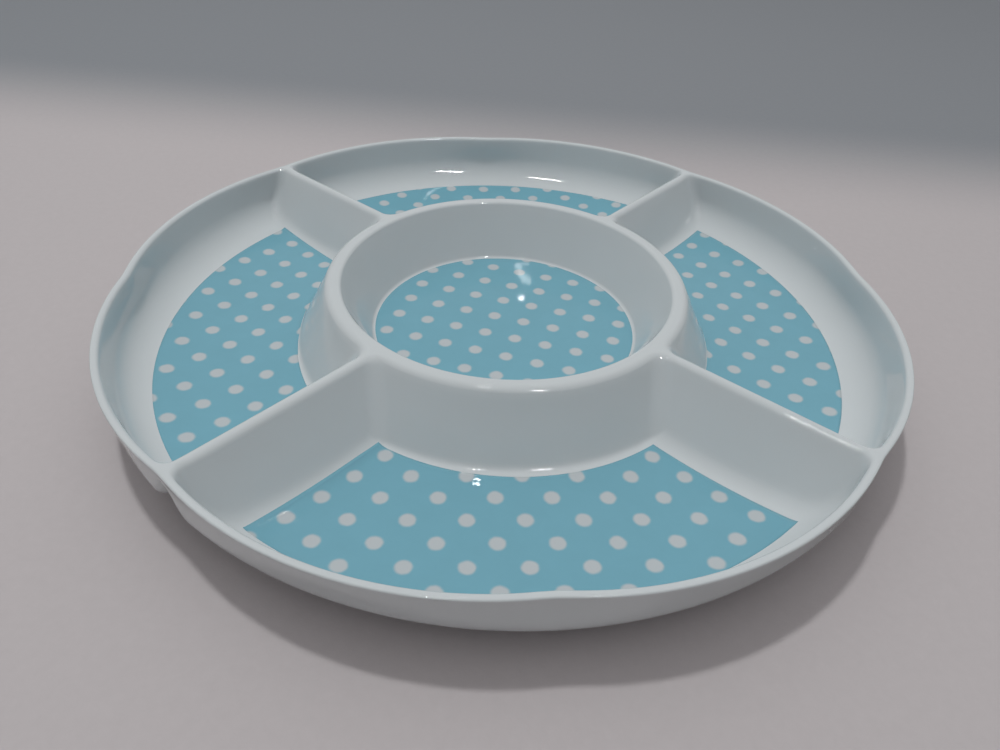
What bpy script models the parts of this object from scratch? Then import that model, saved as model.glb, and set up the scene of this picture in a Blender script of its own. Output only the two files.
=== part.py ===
"""A round divided serving tray: one moulded body and five printed films in its floors.

Metres, +Z up. The origin is the middle of the tray on the surface that it stands on, and -Y is its front.
"""

from math import asin, atan, cos, pi, radians, sin, tan

import bmesh
import bpy
from mathutils import Matrix, Vector

# Rim and outer wall
RIM_RADIUS = 0.1650  # to the crests of the scallops
RIM_HEIGHT = 0.0334  # top of the rim above the table
RIM_WALL = 0.0028
RIM_ROUNDING = 0.0011
WALL_DRAFT = radians(10)
SCALLOP_COUNT = 8
SCALLOP_DEPTH = 0.0029
SCALLOP_FADE = 0.0200  # how far down the wall a scallop runs out
SCALLOP_POWER = 2.2

# Fan compartments, whose dished floors are lowest on one circle
FOOT_HEIGHT = 0.0030
FOOT_OFFSET = 0.0020  # middle of the foot outside the lowest circle
FOOT_WIDTH = 0.0034
FOOT_DRAFT = radians(8)
FLOOR_THICKNESS = 0.0030
DISH_RADIUS = 0.2320
LOW_CIRCLE_RUN = 0.0177  # from the foot of the ring wall out to the lowest circle
COVE_RUN = 0.0180  # from the rim's crests in to where a fan floor turns up into the outer wall

# Centre bowl and its ring wall
RING_RADIUS = 0.0748  # middle of its top
RING_WIDTH = 0.0058
RING_DROP = 0.0004  # its top below the rim
RING_WALL = 0.0032
RING_CORE_WIDTH = 0.0016  # top of the hollow under it
RING_ROUNDING = 0.0018
RING_OUTER_DRAFT = radians(28.5)
RING_INNER_DRAFT = radians(25.7)
RING_OUTER_FILLET = 0.0030
RING_INNER_FILLET = 0.0015
CENTRE_RISE = 0.0015  # centre floor above the lowest circle of the fan floors

# Dividers
DIVIDER_COUNT = 4
FIRST_DIVIDER = radians(45)
DIVIDER_WIDTH = 0.0036
DIVIDER_DROP = 0.0006  # their tops below the rim
DIVIDER_DRAFT = radians(29)
DIVIDER_WALL = 0.0042
DIVIDER_CORE_WIDTH = 0.0012  # top of the hollow under one
DIVIDER_ROUNDING = 0.0014

# Printed films let into the floors
FILM_THICKNESS = 0.00035
FILM_GAP = 0.0003  # under a film and round its edge
CENTRE_FILM_MARGIN = 0.0014  # inside the foot of the ring wall
FAN_FILM_INNER_MARGIN = 0.0017  # outside the foot of the ring wall
FAN_FILM_OUTER_MARGIN = 0.0005  # inside the turn of the floor
FAN_FILM_SIDE_MARGIN = 0.0028  # from the feet of the dividers
FILM_TURN = radians(-1.5)  # each fan film lies a little askew about its own middle
FRONT_FILM_SHIFT = 0.0030  # and a little round the tray, seen from above anticlockwise
RIGHT_FILM_SHIFT = 0.0010
BACK_FILM_SHIFT = 0.0010
LEFT_FILM_SHIFT = 0.0030

# How finely round forms are cut, and how far a cutter runs past what it cuts
TURN_STEPS = 64
ROUND_STEPS = 3
WALL_STEPS = 3
COVE_STEPS = 4
DISH_STEPS = 3
FILM_ARC_STEPS = 14
OVERRUN = 0.0040
WELD = 0.000001

# Colours
MOULDING_WHITE = (0.80, 0.82, 0.82)
FILM_BLUE = (0.13, 0.42, 0.50)

FLOOR_LEVEL = FOOT_HEIGHT + FLOOR_THICKNESS
CENTRE_LEVEL = FLOOR_LEVEL + CENTRE_RISE
RING_TOP = RIM_HEIGHT - RING_DROP
DIVIDER_TOP = RIM_HEIGHT - DIVIDER_DROP
DIVIDER_FOOT_HALF = DIVIDER_WIDTH / 2 + (DIVIDER_TOP - FLOOR_LEVEL) * tan(DIVIDER_DRAFT)
RING_FOOT_RADIUS = RING_RADIUS + RING_WIDTH / 2 + (RING_TOP - FLOOR_LEVEL) * tan(RING_OUTER_DRAFT)
BOWL_FOOT_RADIUS = RING_RADIUS - RING_WIDTH / 2 - (RING_TOP - CENTRE_LEVEL) * tan(RING_INNER_DRAFT)
DISH_LOW_RADIUS = RING_FOOT_RADIUS + LOW_CIRCLE_RUN
FOOT_RADIUS = DISH_LOW_RADIUS + FOOT_OFFSET
FAN_FLOOR_RADIUS = RIM_RADIUS - COVE_RUN
CENTRE_FILM_RADIUS = BOWL_FOOT_RADIUS - CENTRE_FILM_MARGIN
FAN_FILM_INNER_RADIUS = RING_FOOT_RADIUS + FAN_FILM_INNER_MARGIN
FAN_FILM_OUTER_RADIUS = FAN_FLOOR_RADIUS - FAN_FILM_OUTER_MARGIN
FAN_FILM_MIDDLE_RADIUS = (FAN_FILM_INNER_RADIUS + FAN_FILM_OUTER_RADIUS) / 2


def clear_scene():
    for obj in list(bpy.data.objects):
        bpy.data.objects.remove(obj, do_unlink=True)


def new_collection(name):
    collection = bpy.data.collections.new(name)
    bpy.context.scene.collection.children.link(collection)
    return collection


def new_material(name, colour, roughness):
    material = bpy.data.materials.new(name)
    material.use_nodes = True
    shader = material.node_tree.nodes["Principled BSDF"]
    shader.inputs["Base Color"].default_value = (*colour, 1)
    shader.inputs["Roughness"].default_value = roughness
    shader.inputs["Metallic"].default_value = 0
    material.diffuse_color = (*colour, 1)
    return material


def solid_from(guide, name, collection):
    """The guide's shape as a mesh object with its ends welded. The guide itself is removed."""
    bpy.context.view_layer.update()
    graph = bpy.context.evaluated_depsgraph_get()
    mesh = bpy.data.meshes.new_from_object(guide.evaluated_get(graph))
    mesh.name = name
    welded = bmesh.new()
    welded.from_mesh(mesh)
    bmesh.ops.remove_doubles(welded, verts=welded.verts, dist=WELD)
    bmesh.ops.recalc_face_normals(welded, faces=welded.faces)
    welded.to_mesh(mesh)
    welded.free()
    solid = bpy.data.objects.new(name, mesh)
    solid.matrix_world = guide.matrix_world
    collection.objects.link(solid)
    bpy.data.objects.remove(guide, do_unlink=True)
    return solid


def turned(name, profile, collection, closed=False):
    """A solid of revolution from (radius, height) points that run down its outer side, top to bottom."""
    edges = [(i, i + 1) for i in range(len(profile) - 1)]
    if closed:
        edges.append((len(profile) - 1, 0))
    mesh = bpy.data.meshes.new(name)
    mesh.from_pydata([(radius, 0, height) for radius, height in profile], edges, [])
    guide = bpy.data.objects.new(name + "_guide", mesh)
    collection.objects.link(guide)
    screw = guide.modifiers.new("Turn", "SCREW")
    screw.steps = TURN_STEPS
    screw.render_steps = TURN_STEPS
    screw.use_merge_vertices = True
    screw.merge_threshold = WELD
    return solid_from(guide, name, collection)


def extruded(name, outline, thickness, placing, collection):
    """A flat outline in its own XY plane, half the thickness either side of it, then placed."""
    curve = bpy.data.curves.new(name, "CURVE")
    curve.dimensions = "2D"
    curve.fill_mode = "BOTH"
    curve.extrude = thickness / 2
    spline = curve.splines.new("POLY")
    spline.points.add(len(outline) - 1)
    for point, (x, y) in zip(spline.points, outline):
        point.co = (x, y, 0, 1)
    spline.use_cyclic_u = True
    guide = bpy.data.objects.new(name + "_guide", curve)
    collection.objects.link(guide)
    guide.matrix_world = placing
    return solid_from(guide, name, collection)


def cutter(obj):
    obj.hide_render = True
    obj.display_type = "WIRE"
    return obj


def combine(obj, other, operation):
    modifier = obj.modifiers.new(other.name, "BOOLEAN")
    modifier.operation = operation
    modifier.solver = "EXACT"
    modifier.object = other


def rounded(corners):
    """An open line through (x, z, rounding) corners, with an arc of that radius at each inner one."""
    line = [corners[0][:2]]
    for before, corner, after in zip(corners, corners[1:], corners[2:]):
        tip = Vector(corner[:2])
        if not corner[2]:
            line.append(tuple(tip))
            continue
        back = Vector(before[:2]) - tip
        onward = Vector(after[:2]) - tip
        half = back.angle(onward) / 2
        reach = min(corner[2] / tan(half), back.length / 2, onward.length / 2)
        back.normalize()
        onward.normalize()
        centre = tip + (back + onward).normalized() * (reach / cos(half))
        radius = reach * tan(half)
        start = (tip + back * reach - centre).normalized()
        end = (tip + onward * reach - centre).normalized()
        for step in range(ROUND_STEPS + 1):
            line.append(tuple(centre + start.slerp(end, step / ROUND_STEPS) * radius))
    line.append(corners[-1][:2])
    return line


def fan_floor(radius):
    """Height of the top of a fan floor at a distance from the tray's axis."""
    return FLOOR_LEVEL + (radius - DISH_LOW_RADIUS) ** 2 / (2 * DISH_RADIUS)


def fan_underside(radius):
    return fan_floor(radius) - FLOOR_THICKNESS


def dish(outer, inner, height_at):
    """Points of a dished surface from an outer to an inner radius."""
    radii = [outer + (inner - outer) * step / DISH_STEPS for step in range(DISH_STEPS + 1)]
    return [(radius, height_at(radius)) for radius in radii]


def wall_and_cove(top_radius, height_at):
    """The drafted wall that would meet the rim's top at top_radius, down into the arc that ends on the floor."""
    slope = atan((FAN_FLOOR_RADIUS - DISH_LOW_RADIUS) / DISH_RADIUS)
    edge = Vector((FAN_FLOOR_RADIUS, height_at(FAN_FLOOR_RADIUS)))
    outward = Vector((cos(WALL_DRAFT), -sin(WALL_DRAFT)))
    room = (Vector((top_radius, RIM_HEIGHT)) - edge).dot(outward)
    radius = room / (1 - sin(slope + WALL_DRAFT))
    centre = edge + Vector((-sin(slope), cos(slope))) * radius
    first, last = -WALL_DRAFT, slope - pi / 2
    angles = [first + (last - first) * step / COVE_STEPS for step in range(COVE_STEPS + 1)]
    arc = [(centre.x + radius * cos(angle), centre.y + radius * sin(angle)) for angle in angles]
    top, bottom = Vector((top_radius, RIM_HEIGHT)), Vector(arc[0])
    wall = [tuple(top.lerp(bottom, step / WALL_STEPS)) for step in range(1, WALL_STEPS)]
    return wall + arc


def ring_outer(height):
    return RING_RADIUS + RING_WIDTH / 2 + (RING_TOP - height) * tan(RING_OUTER_DRAFT)


def ring_inner(height):
    return RING_RADIUS - RING_WIDTH / 2 - (RING_TOP - height) * tan(RING_INNER_DRAFT)


def ring_core():
    """The hollow under the ring wall, from the fan side up and down to the bowl side."""
    outer_wall = RING_WALL / cos(RING_OUTER_DRAFT)
    inner_wall = RING_WALL / cos(RING_INNER_DRAFT)
    spread = tan(RING_OUTER_DRAFT) + tan(RING_INNER_DRAFT)
    cover = max((RING_CORE_WIDTH + outer_wall + inner_wall - RING_WIDTH) / spread, RING_WALL / 2)
    top = RING_TOP - cover
    outer_foot = fan_underside(ring_outer(FOOT_HEIGHT) - outer_wall)
    inner_foot = CENTRE_LEVEL - FLOOR_THICKNESS
    return [
        (ring_outer(outer_foot) - outer_wall, outer_foot),
        (ring_outer(top) - outer_wall, top),
        (ring_inner(top) + inner_wall, top),
        (ring_inner(inner_foot) + inner_wall, inner_foot),
    ]


def foot():
    """The foot's section, from its outer side to its inner one."""
    top_half = FOOT_WIDTH / 2 + FOOT_HEIGHT * tan(FOOT_DRAFT)
    outer, inner = FOOT_RADIUS + top_half, FOOT_RADIUS - top_half
    return [
        (outer, fan_underside(outer)),
        (FOOT_RADIUS + FOOT_WIDTH / 2, 0),
        (FOOT_RADIUS - FOOT_WIDTH / 2, 0),
        (inner, fan_underside(inner)),
    ]


def scallop(obj):
    """Draws the rim in between its crests, and runs this out down the wall."""
    for vertex in obj.data.vertices:
        place = Vector(vertex.co.xy)
        if place.length <= FAN_FLOOR_RADIUS + WELD:
            continue
        turn = place.angle_signed(Vector((1, 0))) * SCALLOP_COUNT / (2 * pi)
        valley = abs(2 * (turn % 1) - 1) ** SCALLOP_POWER
        depth = max(RIM_HEIGHT - vertex.co.z, 0)
        fade = cos(min(depth / SCALLOP_FADE, 1) * pi / 2) ** 2
        place *= 1 - SCALLOP_DEPTH * valley * fade / place.length
        vertex.co.xy = place


def make_blank(collection):
    """The tray without its hollows from above: outer wall, underside, foot and the hollow under the ring."""
    wall = wall_and_cove(RIM_RADIUS, fan_underside)
    top = rounded([(0, RIM_HEIGHT, 0), (RIM_RADIUS, RIM_HEIGHT, RIM_ROUNDING), (*wall[0], 0)])
    foot_section = foot()
    core = ring_core()
    outside_foot = dish(FAN_FLOOR_RADIUS, foot_section[0][0], fan_underside)[1:-1]
    inside_foot = dish(foot_section[-1][0], core[0][0], fan_underside)[1:-1]
    profile = top + wall[1:] + outside_foot + foot_section + inside_foot + core
    profile.append((0, CENTRE_LEVEL - FLOOR_THICKNESS))
    blank = turned("tray_body", profile, collection)
    scallop(blank)
    return blank


def fan_surface():
    """The floor side of the fan compartments, from the outer wall's top to the ring wall's foot."""
    wall = wall_and_cove(RIM_RADIUS - RIM_WALL, fan_floor)
    foot_height = fan_floor(RING_FOOT_RADIUS)
    foot_radius = ring_outer(foot_height)
    floor = dish(FAN_FLOOR_RADIUS, foot_radius, fan_floor)[1:]
    corners = [(*point, 0) for point in floor[:-1]]
    corners.append((foot_radius, foot_height, RING_OUTER_FILLET))
    corners.append((ring_outer(RING_TOP), RING_TOP, 0))
    return wall, rounded(corners)[:-1]


def make_open_space(collection):
    """Everything above the tray's upper surface, with the dividers taken out of it."""
    wall, floor = fan_surface()
    edge = (RIM_RADIUS - RIM_WALL, RIM_HEIGHT, RIM_ROUNDING)
    lip = rounded([(RIM_RADIUS, RIM_HEIGHT, 0), edge, (*wall[0], 0)])[1:-1]
    start = Vector(lip[0]) + (Vector(lip[0]) - Vector(lip[1])).normalized() * OVERRUN
    ceiling = RIM_HEIGHT + OVERRUN
    ring_corners = [
        (*floor[-1], 0),
        (ring_outer(RING_TOP), RING_TOP, RING_ROUNDING),
        (ring_inner(RING_TOP), RING_TOP, RING_ROUNDING),
        (BOWL_FOOT_RADIUS, CENTRE_LEVEL, RING_INNER_FILLET),
        (0, CENTRE_LEVEL, 0),
    ]
    profile = [(0, ceiling), (start.x, ceiling), tuple(start)]
    profile += lip + wall + floor[:-1] + rounded(ring_corners)
    space = cutter(turned("open_space", profile, collection))
    scallop(space)
    for divider in make_dividers(collection):
        combine(space, divider, "DIFFERENCE")
    return space


def divider_half(height):
    return DIVIDER_WIDTH / 2 + (DIVIDER_TOP - height) * tan(DIVIDER_DRAFT)


def across_divider(angle, start, end):
    """Places an (across, up) outline on a divider's plane, halfway from a start to an end radius."""
    along = Vector((cos(angle), sin(angle), 0))
    up = Vector((0, 0, 1))
    turn = Matrix((up.cross(along), up, along)).transposed().to_4x4()
    return Matrix.Translation(along * (start + end) / 2) @ turn


def divider_angles():
    return [FIRST_DIVIDER + 2 * pi * index / DIVIDER_COUNT for index in range(DIVIDER_COUNT)]


def make_dividers(collection):
    """Solid bars of the dividers' shape, from inside the ring wall to inside the outer wall."""
    low = FOOT_HEIGHT
    corners = [
        (divider_half(low), low, 0),
        (divider_half(DIVIDER_TOP), DIVIDER_TOP, DIVIDER_ROUNDING),
        (-divider_half(DIVIDER_TOP), DIVIDER_TOP, DIVIDER_ROUNDING),
        (-divider_half(low), low, 0),
    ]
    start = RING_RADIUS
    end = RIM_RADIUS - SCALLOP_DEPTH - RIM_WALL / 2
    bars = []
    for index, angle in enumerate(divider_angles()):
        placing = across_divider(angle, start, end)
        bar = extruded(f"divider_bar_{index + 1}", rounded(corners), end - start, placing, collection)
        bars.append(cutter(bar))
    return bars


def make_divider_cores(collection):
    """The hollows under the dividers, which open out through the outer wall."""
    wall = DIVIDER_WALL / cos(DIVIDER_DRAFT)
    cover = (DIVIDER_CORE_WIDTH / 2 + wall - DIVIDER_WIDTH / 2) / tan(DIVIDER_DRAFT)
    top = DIVIDER_TOP - cover
    low_half = divider_half(-OVERRUN) - wall
    outline = [
        (low_half, -OVERRUN),
        (DIVIDER_CORE_WIDTH / 2, top),
        (-DIVIDER_CORE_WIDTH / 2, top),
        (-low_half, -OVERRUN),
    ]
    start, end = RING_RADIUS, RIM_RADIUS + OVERRUN
    cores = []
    for index, angle in enumerate(divider_angles()):
        placing = across_divider(angle, start, end)
        core = extruded(f"divider_core_{index + 1}", outline, end - start, placing, collection)
        cores.append(cutter(core))
    return cores


def fan_film_outline(name, grow, angle, shift, collection):
    """An upright prism of a fan film's outline, made larger all round by grow."""
    side = DIVIDER_FOOT_HALF + FAN_FILM_SIDE_MARGIN

    def arc(radius, sweep):
        half = pi / DIVIDER_COUNT - asin((side - grow) / radius)
        angles = [sweep * half * (1 - 2 * step / FILM_ARC_STEPS) for step in range(FILM_ARC_STEPS + 1)]
        return [(radius * cos(a), radius * sin(a)) for a in angles]

    outline = arc(FAN_FILM_OUTER_RADIUS + grow, 1) + arc(FAN_FILM_INNER_RADIUS - grow, -1)
    middle = Vector((FAN_FILM_MIDDLE_RADIUS, 0, 0))
    askew = Matrix.Translation(middle) @ Matrix.Rotation(FILM_TURN, 4, "Z") @ Matrix.Translation(-middle)
    moved = Matrix.Translation((0, shift, RIM_HEIGHT / 2))
    placing = Matrix.Rotation(angle, 4, "Z") @ moved @ askew
    return cutter(extruded(name, outline, RIM_HEIGHT + OVERRUN, placing, collection))


def skin(name, points, above, below, collection):
    """A ring that follows a surface, from above it to below it."""
    upper = [(radius, height + above) for radius, height in points]
    lower = [(radius, height - below) for radius, height in points]
    return turned(name, upper[::-1] + lower, collection, closed=True)


def make_fan_films(body, part, cutters, material):
    """The four fan films, each in a pocket of the body."""
    wall, floor = fan_surface()
    arc = wall[-COVE_STEPS - 1 :]
    surface = arc[-3:] + floor
    wide_surface = arc[-4:] + floor + [(ring_outer(RING_TOP), RING_TOP)]
    depth = FILM_THICKNESS + FILM_GAP
    places = {
        "front": (-pi / 2, FRONT_FILM_SHIFT),
        "right": (0, RIGHT_FILM_SHIFT),
        "back": (pi / 2, BACK_FILM_SHIFT),
        "left": (pi, LEFT_FILM_SHIFT),
    }
    for side, (angle, shift) in places.items():
        film = skin(f"{side}_decal", surface, 0, FILM_THICKNESS, part)
        film.data.materials.append(material)
        edge = fan_film_outline(f"{side}_film_edge", 0, angle, shift, cutters)
        combine(film, edge, "INTERSECT")
        pocket = cutter(skin(f"{side}_pocket", wide_surface, FILM_GAP, depth, cutters))
        pocket_edge = fan_film_outline(f"{side}_pocket_edge", FILM_GAP, angle, shift, cutters)
        combine(pocket, pocket_edge, "INTERSECT")
        combine(body, pocket, "DIFFERENCE")


def make_centre_film(body, part, cutters, material):
    """The round film of the centre bowl, in its pocket."""

    def disc(name, radius, top, bottom, collection):
        return turned(name, [(0, top), (radius, top), (radius, bottom), (0, bottom)], collection)

    underside = CENTRE_LEVEL - FILM_THICKNESS
    film = disc("centre_decal", CENTRE_FILM_RADIUS, CENTRE_LEVEL, underside, part)
    film.data.materials.append(material)
    pocket_radius = CENTRE_FILM_RADIUS + FILM_GAP
    pocket = disc("centre_pocket", pocket_radius, CENTRE_LEVEL + FILM_GAP, underside - FILM_GAP, cutters)
    combine(body, cutter(pocket), "DIFFERENCE")


def main():
    clear_scene()
    part = new_collection("divided_plate")
    cutters = new_collection("cutters")
    white = new_material("white melamine", MOULDING_WHITE, 0.12)
    blue = new_material("printed film", FILM_BLUE, 0.12)

    body = make_blank(part)
    body.data.materials.append(white)
    combine(body, make_open_space(cutters), "DIFFERENCE")
    for core in make_divider_cores(cutters):
        combine(body, core, "DIFFERENCE")
    make_fan_films(body, part, cutters, blue)
    make_centre_film(body, part, cutters, blue)
    for obj in part.objects:
        obj.data.shade_smooth()
        obj.data.set_sharp_from_angle(angle=radians(30))


main()
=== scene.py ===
"""The looks of a divided serving tray: a moulded body, and printed films in its floors.

Metres, +Z up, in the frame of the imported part. The front compartment lies towards -Y.
"""

from math import atan, cos, pi, radians, sin, tan

import bpy
import numpy as np
from mathutils import Matrix, Vector


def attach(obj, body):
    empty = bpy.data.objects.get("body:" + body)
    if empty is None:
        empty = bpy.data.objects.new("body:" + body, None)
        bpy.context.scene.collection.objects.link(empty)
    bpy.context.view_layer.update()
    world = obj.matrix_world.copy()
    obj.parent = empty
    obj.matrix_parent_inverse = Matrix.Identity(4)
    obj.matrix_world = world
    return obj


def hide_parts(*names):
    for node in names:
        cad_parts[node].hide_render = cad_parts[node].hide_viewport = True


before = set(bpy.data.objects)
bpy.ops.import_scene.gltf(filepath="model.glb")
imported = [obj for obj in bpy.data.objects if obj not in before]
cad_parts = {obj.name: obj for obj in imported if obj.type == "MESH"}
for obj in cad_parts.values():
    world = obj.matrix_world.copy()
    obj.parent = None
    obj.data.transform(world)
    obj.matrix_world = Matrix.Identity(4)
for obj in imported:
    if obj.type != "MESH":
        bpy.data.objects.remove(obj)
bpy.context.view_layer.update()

bl_info = {
    "name": "Divided Serving Tray",
    "version": (1, 0, 0),
    "blender": (4, 5, 0),
    "location": "View3D > Sidebar > Tray",
    "description": "Builds a divided serving tray with printed films, on a plain stage",
    "category": "Add Mesh",
}

SIDES = ("front", "right", "back", "left")

# How finely the lines in section are divided
ARC_STEPS = 6
BOWL_ARC_STEPS = 8
FAN_ARC_STEPS = 10
COVE_STEPS = 32
DISH_POINTS = 14
UNDER_DISH_POINTS = 8


# Sizes and colours that a user may change

def length(name, description, default):
    return bpy.props.FloatProperty(
        name=name, description=description, default=default, unit="LENGTH", precision=5)


def angle(name, description, degrees):
    return bpy.props.FloatProperty(
        name=name, description=description, default=radians(degrees), subtype="ANGLE")


def colour(name, description, default):
    return bpy.props.FloatVectorProperty(
        name=name, description=description, default=default, subtype="COLOR", size=3, min=0, max=1)


def amount(name, description, default):
    return bpy.props.FloatProperty(name=name, description=description, default=default)


class TrayMoulding(bpy.types.PropertyGroup):
    """Sizes of the moulded body"""

    rim_radius: length("Rim Radius", "To the crests of the scallops, at the sharp edge", 0.16484)
    rim_height: length("Rim Height", "Top of the rim above the table", 0.0334)
    rim_wall: length("Rim Wall", "Width of the rim's top with its roundings", 0.0028)
    rim_rounding: length("Rim Rounding", "Radius of both edges of the rim", 0.00135)
    wall_draft: angle("Wall Draft", "Lean of the outer wall from upright", 10)
    scallop_count: bpy.props.IntProperty(
        name="Scallops", description="Crests round the rim", default=8)
    scallop_depth: length("Scallop Depth", "How far the rim is drawn in between crests", 0.0029)
    scallop_fade: length("Scallop Fade", "How far down the wall a scallop runs out", 0.0200)
    scallop_power: amount("Scallop Power", "How pointed the valleys between scallops are", 2.2)
    valley_softness: amount(
        "Valley Softness", "Rounding of the valleys, as a share of half a scallop", 0.05)
    cove_run: length("Cove Run", "From the rim's crests in to where the floor turns up", 0.0179)
    foot_height: length("Foot Height", "Floor of the tray above the table", 0.0030)
    foot_radius: length("Foot Radius", "Middle of the foot ring", 0.11206)
    foot_width: length("Foot Width", "Width of the flat underside of the foot", 0.0034)
    foot_draft: angle("Foot Draft", "Lean of the foot's sides", 8)
    foot_rounding: length("Foot Rounding", "Radius of the foot's edges", 0.0005)
    floor_thickness: length("Floor Thickness", "Thickness of the floors", 0.0030)
    dish_radius: length("Dish Radius", "Radius of the dished fan floors, seen in section", 0.2320)
    dish_low_radius: length("Low Circle", "Where the fan floors are lowest", 0.11006)
    ring_radius: length("Ring Radius", "Middle of the top of the ring wall", 0.0748)
    ring_width: length("Ring Width", "Top of the ring wall before rounding", 0.0058)
    ring_drop: length("Ring Drop", "Top of the ring wall below the rim", 0.0004)
    ring_wall: length("Ring Shell", "Shell thickness of the ring wall", 0.0032)
    ring_core_width: length("Ring Core", "Top of the hollow under the ring wall", 0.0016)
    ring_rounding: length("Ring Rounding", "Radius of the ring wall's top edges", 0.0018)
    ring_outer_draft: angle("Ring Outer Draft", "Lean of the ring wall's outer side", 28.5)
    ring_inner_draft: angle("Ring Inner Draft", "Lean of the ring wall's inner side", 25.7)
    ring_outer_fillet: length(
        "Ring Outer Fillet", "Where the ring wall meets the fan floors", 0.0026)
    ring_inner_fillet: length(
        "Ring Inner Fillet", "Where the ring wall meets the bowl's floor", 0.0022)
    centre_rise: length("Centre Rise", "Bowl's floor above the lowest fan floor", 0.0015)
    divider_width: length("Divider Width", "Top of a divider before rounding", 0.0036)
    divider_drop: length("Divider Drop", "Top of a divider below the rim", 0.0006)
    divider_draft: angle("Divider Draft", "Lean of a divider's sides", 29)
    divider_wall: length("Divider Shell", "Shell thickness of a divider", 0.0042)
    divider_core_width: length("Divider Core", "Top of the hollow under a divider", 0.0012)
    divider_rounding: length("Divider Rounding", "Radius of a divider's top edges", 0.0014)
    ring_corner: length("Ring Corner", "Fillet between a divider and the ring wall", 0.0050)
    wall_corner: length(
        "Wall Corner", "Fillet between a divider and the floor or outer wall", 0.0042)
    notch_rounding: length("Notch Rounding", "Edges of the notches in the outer wall", 0.0040)
    tub_rounding: length(
        "Tub Rounding", "Lower edges of the compartments beside the notches", 0.0075)


class FilmPrint(bpy.types.PropertyGroup):
    """Sizes of the printed films"""

    film_thickness: length("Film Thickness", "Thickness of a printed film", 0.00007)
    film_proud: length("Film Height", "Top of a film above the floor", 0.00006)
    centre_radius: length("Centre Film Radius", "Radius of the round film", 0.0591)
    fan_inner: length("Fan Film Inner Radius", "Inner arc of the fan films", 0.0897)
    fan_outer: length("Fan Film Outer Radius", "Outer arc of the fan films", 0.1460)
    fan_low: length(
        "Fan Film Least Radius", "Nearest that a fan film comes to the middle of the tray", 0.0919)
    fan_side: length(
        "Fan Film Side", "From the divider's middle plane to a film's straight edge", 0.0153)
    fan_clear: length(
        "Fan Film Clearance", "Least distance of a film from the divider's middle plane", 0.0170)
    dot_pitch: length("Dot Pitch", "Side of the square grid of dots", 0.013975)
    dot_diameter: length("Dot Diameter", "Diameter of a printed dot", 0.0056)
    dot_edge: length("Dot Edge", "Softness of a dot's edge", 0.0014)


class TrayFinish(bpy.types.PropertyGroup):
    """Colours of the tray and the stage"""

    white: colour("White", "Moulded melamine", (0.640, 0.672, 0.685))
    blue: colour("Blue", "Ground of the printed films", (0.178, 0.415, 0.512))
    dots: colour("Dots", "Printed dots", (0.520, 0.555, 0.572))
    paper: colour("Paper", "Floor round the tray", (0.545, 0.50, 0.505))
    # Painted shade: this darker colour stands in for the shade on the paper behind the tray
    paper_painted_shade: colour("Painted Shade Paper", "Floor behind the tray", (0.27, 0.28, 0.30))
    horizon: colour("Horizon", "Plain background beyond the floor", (0.42, 0.43, 0.45))


# Lines and surfaces in section, as (radius, height) points

def rounded(corners, steps=ARC_STEPS):
    """An open line through (x, z, rounding) corners, with such an arc at each inner one."""
    line = [tuple(corners[0][:2])]
    for before, corner, after in zip(corners, corners[1:], corners[2:]):
        tip = Vector(corner[:2])
        if not corner[2]:
            line.append(tuple(tip))
            continue
        back = Vector(before[:2]) - tip
        onward = Vector(after[:2]) - tip
        half = back.angle(onward) / 2
        reach = min(corner[2] / tan(half), back.length / 2, onward.length / 2)
        back.normalize()
        onward.normalize()
        centre = tip + (back + onward).normalized() * (reach / cos(half))
        start = (tip + back * reach - centre).normalized()
        end = (tip + onward * reach - centre).normalized()
        radius = reach * tan(half)
        for step in range(steps + 1):
            line.append(tuple(centre + start.slerp(end, step / steps) * radius))
    line.append(tuple(corners[-1][:2]))
    return line


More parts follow.
